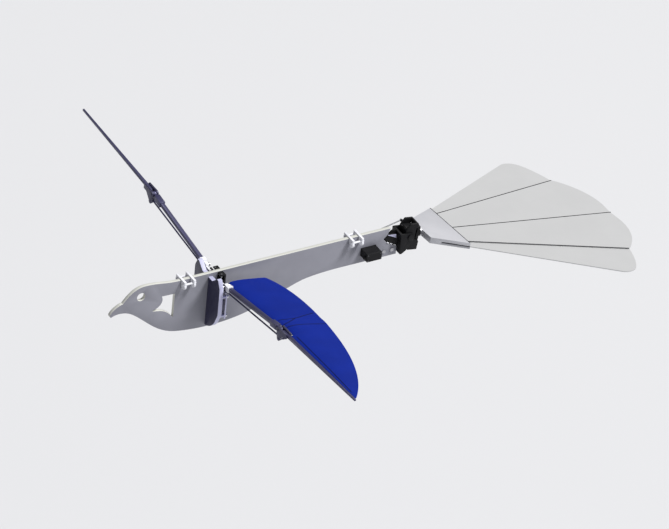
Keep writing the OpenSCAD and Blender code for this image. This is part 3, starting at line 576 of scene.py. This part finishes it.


# %% [markdown]
# ### Seams, hem and painted shade at the front
# Where two panels meet, the cloth is folded over and sewn, which makes a low round ridge. A ridge is a tube
# with an oval section that is swept along a line on the film. The hem at the rear and the black bands at the
# front are the same tube, only wider. The black bands along the bars, and one black line behind the outer
# bar, are painted shade where the film's leading pocket lies in shade.

# %% Ridges along lines on the film
def ridge(name, outs, backs, half_width, half_height, material, lift=0.0, sides=10):
    """An oval tube along a line on the film, closed at both ends, raised by lift above the cloth."""
    line = film_point(outs, backs)
    ahead = np.gradient(line, axis=0)
    ahead /= np.linalg.norm(ahead, axis=1)[:, None]
    step = 0.0004
    rise_out = film_point(outs + step, backs) - line
    rise_back = film_point(outs, backs + step) - line
    upward = np.cross(rise_out, rise_back)
    upward *= np.sign(upward[:, 2:])
    upward -= (upward * ahead).sum(1)[:, None] * ahead
    upward /= np.linalg.norm(upward, axis=1)[:, None]
    sideways = np.cross(upward, ahead)
    turn = np.linspace(0, 2 * np.pi, sides, endpoint=False)
    taper = np.minimum(1, np.minimum(np.arange(len(line)), np.arange(len(line))[::-1]) / 1.5 + 0.35)
    ring = (sideways[:, None] * (half_width * np.cos(turn))[None, :, None]
            + upward[:, None] * (half_height * np.sin(turn))[None, :, None]) * taper[:, None, None]
    points = (line + upward * lift)[:, None] + ring
    ends = [line[0] + upward[0] * lift, line[-1] + upward[-1] * lift]
    faces = grid_faces(len(line), sides, wrap=True).tolist()
    count = points.shape[0] * sides
    last = count - sides
    caps = [(count, (i + 1) % sides, i) for i in range(sides)]
    caps += [(count + 1, last + i, last + (i + 1) % sides) for i in range(sides)]
    return piece(name, np.vstack([points.reshape(-1, 3), ends]), faces + caps, material)


def mend_normals(made):
    """Turns every face of a closed piece outwards."""
    work = bmesh.new()
    work.from_mesh(made.data)
    bmesh.ops.recalc_face_normals(work, faces=work.faces)
    work.to_mesh(made.data)
    work.free()
    return made


def between(outs_mm, backs_mm, count=40):
    """A smooth line through a few points given in millimetres, as two arrays in metres."""
    distance = np.concatenate([[0], np.cumsum(np.hypot(np.diff(outs_mm), np.diff(backs_mm)))])
    where = np.linspace(0, distance[-1], count)
    return np.interp(where, distance, outs_mm) * MM, np.interp(where, distance, backs_mm) * MM


trim = []
hem_out = np.linspace(root_out + 0.0005, FILM_END - 0.001, 240)
trim.append(ridge("rear_hem", hem_out, rear_edge(hem_out) - 0.0004, 0.0007, 0.0004, cloth))
root_back = np.linspace(front_edge(np.array([root_out]))[0] + 0.0005, 0.0618, 40)
trim.append(ridge("root_hem", np.full(40, root_out + 0.0003), root_back, 0.0006, 0.0004, cloth))
# The black front bands are painted shade: black ridges where the film lies in shade along the bars
front_out = np.linspace(0.019, 0.120, 80)
trim.append(ridge("front_shade_band_inner", front_out, front_edge(front_out) + 0.0003, 0.0006, 0.0007,
                  seam_and_shade_black))
front_out = np.linspace(0.168, FILM_END - 0.002, 120)
trim.append(ridge("front_shade_band_outer", front_out, front_edge(front_out) + 0.0003, 0.0006, 0.0006,
                  seam_and_shade_black))
seam_and_shade_lines = {
    "inner_seam": ([122.2, 124.6, 125.0, 123.2, 119.8, 113.8], [7.6, 20, 31, 39, 47.8, 65.8]),
    "elbow_seam": ([137.6, 133.4, 125.4], [7.2, 18, 32]),
    "outer_seam": ([145.4, 144.4, 145.2, 149.7], [7.2, 18, 33, 64.3]),
    # The sleeve line is painted shade: a black line where the film's pocket behind the outer bar is in shade
    "sleeve_shade_line": ([170, 205, 260, 322], [8.2, 7.8, 7.2, 5.4]),
}
for name, (outs_mm, backs_mm) in seam_and_shade_lines.items():
    trim.append(ridge(name, *between(outs_mm, backs_mm), 0.00065, 0.0004, seam_and_shade_black))
for made in trim:
    mend_normals(made)
print(len(trim), "ridges")

# %% Bake the cloth's placement and hide the modelled wing skins
for made in [film, *trim]:
    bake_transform(made)
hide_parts("left_inner_skin", "left_gusset_skin", "left_outer_skin")

# %% [markdown]
# ## The tail fan's seams
# The fan is four foam panels. The two middle ones butt along the centre, and each outer one is lapped under
# its neighbour. Black tape covers the joints, and black sealant fills the clamp's rear edge and side slots.
# Each is an ellipse carried along a straight line, placed in the tail's own frame, which is turned down to
# the rear and banked.

# %% Tape the tail
TAIL_PIVOT = np.array([302.0, 0, -15.0]) * MM
TAIL_DOWN, TAIL_BANK = math.radians(9.2), math.radians(-4.6)
tail_back = np.array([math.cos(TAIL_DOWN), 0, -math.sin(TAIL_DOWN)])
tail_left = -np.array([0, math.cos(TAIL_BANK), 0]) - math.sin(TAIL_BANK) * np.array(
    [math.sin(TAIL_DOWN), 0, math.cos(TAIL_DOWN)])
tail_up = np.cross(tail_left, tail_back)
CLAMP_REAR = 67.0
PANEL = 1.2


def on_tail(behind, left, height):
    """A place in the tail's frame, from millimetres behind the clamp, to the left and above its middle."""
    behind, left, height = np.broadcast_arrays(behind, left, height)
    return (TAIL_PIVOT + ((behind[..., None] + CLAMP_REAR) * tail_back + left[..., None] * tail_left
                          + height[..., None] * tail_up) * MM)


def tape(name, start, end, height, half_width=0.8, half_height=0.3, steps=30, sides=12):
    """An ellipse carried along the line from start to end, each (behind, left) in millimetres."""
    along = np.linspace(0, 1, steps)[:, None]
    line = np.array(start) * (1 - along) + np.array(end) * along
    direction = np.array(end, float) - np.array(start)
    direction /= np.linalg.norm(direction)
    turn = np.linspace(0, 2 * np.pi, sides, endpoint=False)[None, :]
    sideways, rise = half_width * np.cos(turn), half_height * np.sin(turn)
    points = on_tail(line[:, :1] - direction[1] * sideways, line[:, 1:] + direction[0] * sideways,
                     height + rise + 0 * line[:, :1])
    faces = grid_faces(steps, sides, wrap=True).tolist()
    faces += [list(range(sides)), list(range((steps - 1) * sides, steps * sides))]
    made = mend_normals(piece(name, points.reshape(-1, 3), faces, seam_and_shade_black))
    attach(made, "tail")
    return made


LAP, LAP_SLOPE, LAP_END = 39.8, math.tan(math.radians(15.5)), 216.5
CLAMP_TOP, CLAMP_HALF, SLOT_FRONT, SLOT_HALF = 4.2, 52.0, -32.5, 34.2
tape("tail_seam_middle", (0.4, 0), (249, 0), PANEL)
tape("clamp_rear_trim", (-0.5, -CLAMP_HALF + 0.6), (-0.5, CLAMP_HALF - 0.6), CLAMP_TOP - 0.1, half_width=0.6)
for side, word in ((1, "left"), (-1, "right")):
    end = (LAP_END, side * (LAP + LAP_END * LAP_SLOPE))
    tape("tail_seam_" + word, (0.4, side * LAP), end, PANEL - 0.1)
    tape("clamp_slot_" + word, (SLOT_FRONT, side * SLOT_HALF), (-0.2, side * (CLAMP_HALF + 0.6)),
         -PANEL / 2, half_width=0.5, half_height=0.6)
print("tape on the tail, clamp's rear face at", on_tail(0, 0, 0).round(4))

# %% [markdown]
# ## Cases, packs and small fittings
# A servo's case is three mouldings screwed together, and a thin groove shows where they meet. A battery is
# a soft wrapped block. All of these are one shape: a rounded rectangle carried along an axis, drawn in at
# its ends and at each groove. So one function makes them from a list of stations.

# %% Rounded blocks carried along an axis
def rounded_block(name, low, high, radius, axis, stations, node, material=None, arc=6):
    """A rounded rectangle swept from low to high along an axis; a station is (place, inset) in mm.
    A corner point is its corner's centre plus the radius times (cos, sin) of an angle going once round."""
    low, high = np.array(low, float), np.array(high, float)
    across = [a for a in range(3) if a != axis]
    turn = np.linspace(0, np.pi / 2, arc)
    turn = (np.arange(4)[:, None] * np.pi / 2 + turn[None, :]).ravel()
    reach = (high - low)[across] / 2
    centre = (high + low)[across] / 2
    corner = np.sign(np.column_stack([np.cos(np.repeat(np.arange(4) + 0.5, arc) * np.pi / 2),
                                      np.sin(np.repeat(np.arange(4) + 0.5, arc) * np.pi / 2)]))
    place, inset = np.array(stations, float).T
    spread = corner[None] * (reach - radius)[None, None] + radius * np.column_stack(
        [np.cos(turn), np.sin(turn)])[None]
    spread = spread * (1 - inset[:, None, None] / reach.min())
    points = np.empty((len(place), len(turn), 3))
    points[..., across] = centre + spread
    points[..., axis] = place[:, None]
    ring = len(turn)
    faces = grid_faces(len(place), ring, wrap=True).tolist()
    faces += [list(range(ring)), list(range((len(place) - 1) * ring, len(place) * ring))]
    made = mend_normals(piece(name, points.reshape(-1, 3) * MM, faces,
                              material or finishes[slot_of[node]], smooth=False))
    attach(made, body_of[node])
    return made


def grooves(start, end, cuts, edge=0.5, depth=0.3, width=0.3):
    """Stations of a case: rounded ends, and a groove at each cut."""
    rows = [(start, edge), (start + 0.35 * edge, 0.3 * edge), (start + edge, 0.0)]
    for cut_at in cuts:
        rows += [(cut_at - width / 2, 0.0), (cut_at - width / 2 + 0.02, depth),
                 (cut_at + width / 2 - 0.02, depth), (cut_at + width / 2, 0.0)]
    rows += [(end - edge, 0.0), (end - 0.35 * edge, 0.3 * edge), (end, edge)]
    return rows


def rod_piece(name, centre, radius, axis, stations, node, material=None, sides=24):
    """A turned part: a circle carried along an axis, with its radius changed by each station's inset."""
    centre = np.array(centre, float)
    return rounded_block(name, centre - radius, centre + radius, radius * 0.9999, axis, stations, node,
                         material, arc=sides // 4)


def node_box(node):
    """A node's lowest and highest corner in millimetres."""
    low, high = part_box(node)
    return np.array(low) / MM, np.array(high) / MM


# %% The pitch servo
low, high = node_box("pitch_servo")
CASE_LEFT, CASE_RIGHT, EAR = -19.5, 6.5, 4.8
EAR_NEAR, EAR_FAR = 2.5, 4.9
case_low = (low[0] + EAR, CASE_LEFT, low[2])
case_high = (high[0] - EAR, CASE_RIGHT, high[2])
case = rounded_block("pitch_servo_case", case_low, case_high, 1.1, 1,
                     grooves(CASE_LEFT, CASE_RIGHT, (-15.4, 2.2)), "pitch_servo")
rounded_block("pitch_servo_ears", (low[0], EAR_NEAR, low[2]), (high[0], EAR_FAR, high[2]), 1.4, 1,
              grooves(EAR_NEAR, EAR_FAR, (), edge=0.3), "pitch_servo")
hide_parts("pitch_servo")
screw_steel = finish("screw_steel", (0.10, 0.10, 0.11), 0.35, 0.9, (0.5, 0.5, 0.5), 0.6)[0]
for number, (x, z) in enumerate((x, z) for x in (case_low[0] + 1.9, case_high[0] - 1.9)
                                for z in (case_low[2] + 1.9, case_high[2] - 1.9)):
    rod_piece(f"pitch_servo_screw_{number}", (x, 0, z), 1.0, 1,
              [(-19.9, 0.3), (-19.75, 0.0), (-19.2, 0.0)], "pitch_servo", screw_steel, sides=16)
GUARD_START, GUARD_END = case_low[0] - 3.2, case_low[0] + 0.6
rounded_block("pitch_servo_lead_guard", (GUARD_START, -18.3, case_low[2] + 2.6),
              (GUARD_END, -12.6, case_low[2] + 7.4), 1.2, 0,
              [(GUARD_START, 1.5), (case_low[0] - 2.4, 0.9), (case_low[0] - 0.3, 0.0), (GUARD_END, 0.0)],
              "pitch_servo")
print("servo case", np.round(case_low, 1), np.round(case_high, 1))

# %% [markdown]
# ### The roll servo, the battery and the electronics
# The roll servo sits in its cradle, turned down with the tail, so its pieces are made level and then turned
# about the pitch pivot. The battery is three flat cells under shrink-wrap, whose ends are folded in.

# %% Roll servo
cradle_turn = Matrix.Translation(Vector(TAIL_PIVOT)) @ Matrix.Rotation(TAIL_DOWN, 4, "Y")


def turned(made, matrix=cradle_turn):
    """The piece with its mesh moved by a matrix; the object stays at the origin."""
    made.data.transform(matrix)
    return mend_normals(made)


ROLL_START, ROLL_END, HALF_WIDE, HALF_TALL = -6.8, 16.2, 6, 11.25
ROLL_EAR_START, ROLL_EAR_END = 9.7, 12.1
roll_case = turned(rounded_block(
    "roll_servo_case", (ROLL_START, -HALF_WIDE, -HALF_TALL), (ROLL_END, HALF_WIDE, HALF_TALL), 1.1, 0,
    grooves(ROLL_START, ROLL_END, (-2.6, 8.6)), "roll_servo"))
turned(rounded_block(
    "roll_servo_ears", (ROLL_EAR_START, -HALF_WIDE, -HALF_TALL - EAR),
    (ROLL_EAR_END, HALF_WIDE, HALF_TALL + EAR), 1.4, 0,
    grooves(ROLL_EAR_START, ROLL_EAR_END, (), edge=0.3), "roll_servo"))
turned(rod_piece("roll_servo_boss", (0, 0, 0), 5.6, 0,
                 [(15.6, 0.0), (17.6, 0.0), (18.1, 0.4)], "roll_servo"))
for number, (y, z) in enumerate((y, z) for y in (-4.2, 4.2) for z in (-9.4, 9.4)):
    turned(rod_piece(f"roll_servo_screw_{number}", (0, y, z), 1.0, 0,
                     [(-7.2, 0.3), (-7.05, 0.0), (-6.4, 0.0)], "roll_servo", screw_steel, sides=16))
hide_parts("roll_servo")

# %% Battery, speed controller and receiver
low, high = node_box("battery")
pack = rounded_block("battery_pack", low, high, 2.2, 0, [
    (low[0], 3.2), (low[0] + 0.5, 1.6), (low[0] + 1.6, 0.5), (low[0] + 3.5, 0.0),
    ((low[0] + high[0]) / 2, -0.15), (high[0] - 3.5, 0.0), (high[0] - 1.6, 0.5), (high[0] - 0.5, 1.6),
    (high[0], 3.2)], "battery")
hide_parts("battery")
for number, share in enumerate((0.28, 0.72)):
    place = low[0] + share * (high[0] - low[0])
    rounded_block(f"battery_strap_{number}", low - 0.35, high + 0.35, 2.3, 0,
                  [(place - 4, 0.3), (place - 3.8, 0.0), (place + 3.8, 0.0), (place + 4, 0.3)], "battery",
                  finishes["black_nylon"])
for node in ("speed_controller", "receiver"):
    low, high = node_box(node)
    shell = rounded_block(node + "_shell", low, high, 1.2, 1,
                          grooves(low[1], high[1], ((low[1] + high[1]) / 2,), edge=0.6), node)
    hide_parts(node)
low, high = node_box("receiver")
for number in range(5):
    place = low[2] + 3.5 + number * 3.4
    rounded_block(f"receiver_pin_row_{number}", (high[0] - 0.3, low[1] + 2.2, place),
                  (high[0] + 0.5, low[1] + 5.8, place + 2.2), 0.4, 0,
                  [(high[0] - 0.3, 0.0), (high[0] + 0.3, 0.0), (high[0] + 0.5, 0.3)], "receiver",
                  finishes["gear_acetal"], arc=3)

# %% Motor can
low, high = node_box("motor_can")
can_centre = (low + high) / 2
can = rod_piece("motor_bell", can_centre, (high[2] - low[2]) / 2, 0, [
    (low[0], 1.4), (low[0] + 0.4, 0.7), (low[0] + 1.4, 0.0), (low[0] + 6.0, 0.0), (low[0] + 6.1, 0.5),
    (low[0] + 6.9, 0.5), (low[0] + 7.0, 0.0), (high[0] - 4.0, 0.0), (high[0] - 3.9, 0.4),
    (high[0] - 3.5, 0.4), (high[0] - 3.4, 0.0), (high[0] - 0.9, 0.0), (high[0] - 0.3, 0.5),
    (high[0], 1.3)], "motor_can", sides=48)
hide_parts("motor_can")
print("motor bell", round(float(high[0] - low[0]), 1), "mm long")

# %% [markdown]
# ### The notch at the keel's rear end
# A black key fills the notch in the keel. A lavender shim lies on the key's upper corner, and three white
# dashes lie along its lower edge: painted highlights where the keel's lit cut edge shows past the key.

# %% Shim and painted highlight dashes
KEEL_LEFT = -2.5
shim_outline = np.array([(272.4, -9.9), (284.8, -11.4), (285.4, -16.8)])
shim = np.array([(x, y, z) for y in (KEEL_LEFT - 0.8, KEEL_LEFT + 0.1) for x, z in shim_outline]) * MM
shim_faces = [(0, 1, 2), (5, 4, 3), (0, 3, 4, 1), (1, 4, 5, 2), (2, 5, 3, 0)]
shim_piece = mend_normals(piece("notch_shim", shim, shim_faces, finishes["lavender_alloy"], smooth=False))
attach(shim_piece, "keel")
# Painted highlights: white dashes along the notch's lower edge stand for its lit cut edge
HIGHLIGHT_START, HIGHLIGHT_END, HIGHLIGHT_SLOPE = np.array((271.6, -20.7)), np.array((286.4, -29.2)), 29.9
for number, share in enumerate((0.10, 0.46, 0.82)):
    x, z = HIGHLIGHT_START + share * (HIGHLIGHT_END - HIGHLIGHT_START)
    lit_edge_dash = rounded_block(f"notch_highlight_dash_{number}", (-1.9, -0.8, -0.65), (1.9, 0.1, 0.65), 0.35, 0,
                        [(-1.9, 0.25), (-1.7, 0.0), (1.7, 0.0), (1.9, 0.25)], "rear_saddle_rods", arc=3)
    turned(lit_edge_dash, Matrix.Translation(Vector((x, KEEL_LEFT, z)) * MM) @ Matrix.Rotation(
        math.radians(HIGHLIGHT_SLOPE), 4, "Y"))
